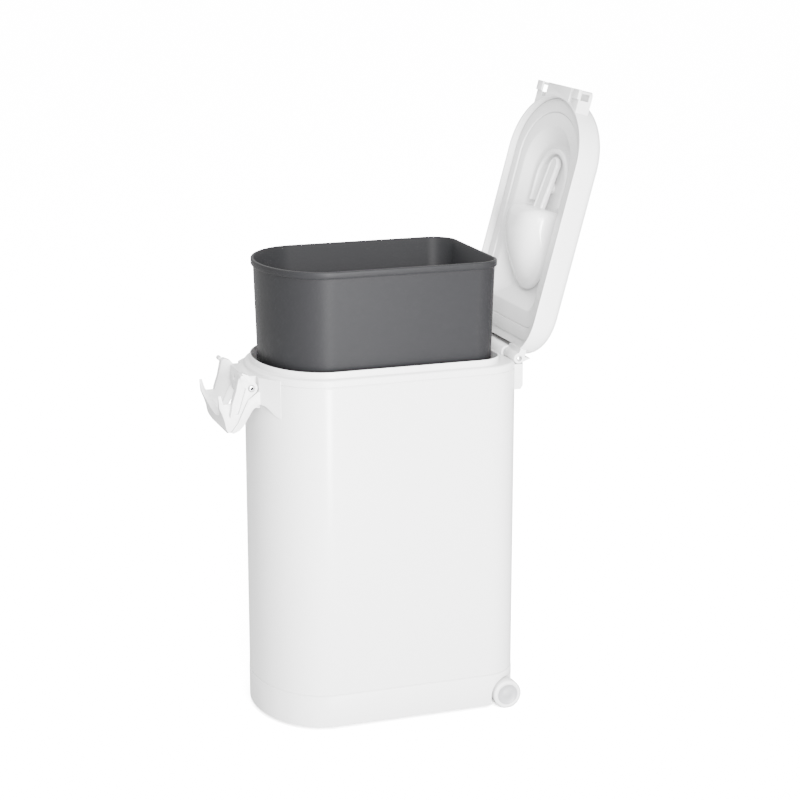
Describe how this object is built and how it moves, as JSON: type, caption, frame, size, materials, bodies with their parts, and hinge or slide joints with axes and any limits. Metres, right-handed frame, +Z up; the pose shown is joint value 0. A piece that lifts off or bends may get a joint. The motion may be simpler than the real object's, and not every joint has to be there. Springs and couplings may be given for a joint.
{
  "type": "wheeled storage bin",
  "caption": "Slim D-shaped storage bin with a lift-out inner bucket, back-hinged lid with docked scoop, front locking handle and rear wheels.",
  "frame": {"origin": "on the floor under the middle of the body", "axes": "+X across the bin, along the wheel axle; +Y from the latch at the front to the hinge at the back; +Z up"},
  "size_m": [0.27, 0.6011, 0.9649],
  "materials": {
    "white_steel": "satin",
    "white_plastic": "satin",
    "grey_plastic": "satin",
    "bucket_grey": "fine grained",
    "scoop_white": "gloss",
    "seal_white": "matte",
    "tyre_white": "satin",
    "foot_rubber": "matte",
    "steel": "plated",
    "magnet": "sintered"
  },
  "bodies": {
    "body": {"body_shell": "white_steel", "base_ring": "white_plastic", "bottom_cover": "white_plastic", "bin_floor": "grey_plastic", "front_feet": "foot_rubber", "cover_screws": "steel", "wheel_axle": "steel", "axle_brackets": "grey_plastic", "axle_washers": "steel", "rim_ring": "white_plastic", "rear_bracket": "white_plastic", "rear_bracket_screws": "steel", "hinge_pins": "steel", "front_bracket": "white_plastic", "front_bracket_screws": "steel", "handle_screws": "steel"},
    "lid": {"lid_shell": "white_plastic", "lid_insert": "white_plastic", "lid_gasket": "seal_white", "lid_hinge_arms": "white_plastic", "lid_catch": "white_plastic", "lid_magnet": "magnet"},
    "scoop": {"scoop": "scoop_white", "scoop_disc": "steel"},
    "handle": {"lock_handle": "white_plastic"},
    "bucket": {"bucket": "bucket_grey"},
    "wheel_left": {"tyre_left": "tyre_white", "hub_left": "grey_plastic"},
    "wheel_right": {"tyre_right": "tyre_white", "hub_right": "grey_plastic"}
  },
  "joints": [
    {"name": "lid_hinge", "type": "hinge", "parent": "body", "child": "lid", "pos_m": [0, 0.199, 0.561], "axis": [1, 0, 0], "range_deg": [0, 105.2]},
    {"name": "bucket_lift", "type": "slide", "parent": "body", "child": "bucket", "axis": [0, 0, -1], "range_m": [0, 0.2125]},
    {"name": "scoop_pull", "type": "slide", "parent": "lid", "child": "scoop", "axis": [0, -0.965, 0.2622], "range_m": [0, 0.035]},
    {"name": "handle_swing", "type": "hinge", "parent": "body", "child": "handle", "pos_m": [0, -0.2125, 0.5365], "axis": [-1, 0, 0], "range_deg": [0, 42]},
    {"name": "wheel_left_spin", "type": "hinge", "parent": "body", "child": "wheel_left", "pos_m": [-0.1235, 0.1765, 0.023], "axis": [1, 0, 0], "continuous": true},
    {"name": "wheel_right_spin", "type": "hinge", "parent": "body", "child": "wheel_right", "pos_m": [0.1235, 0.1765, 0.023], "axis": [1, 0, 0], "continuous": true}
  ],
  "couplings": [
    {"joint": "bucket_lift", "follows": "lid_hinge", "m_per_rad": 0.11546}
  ]
}
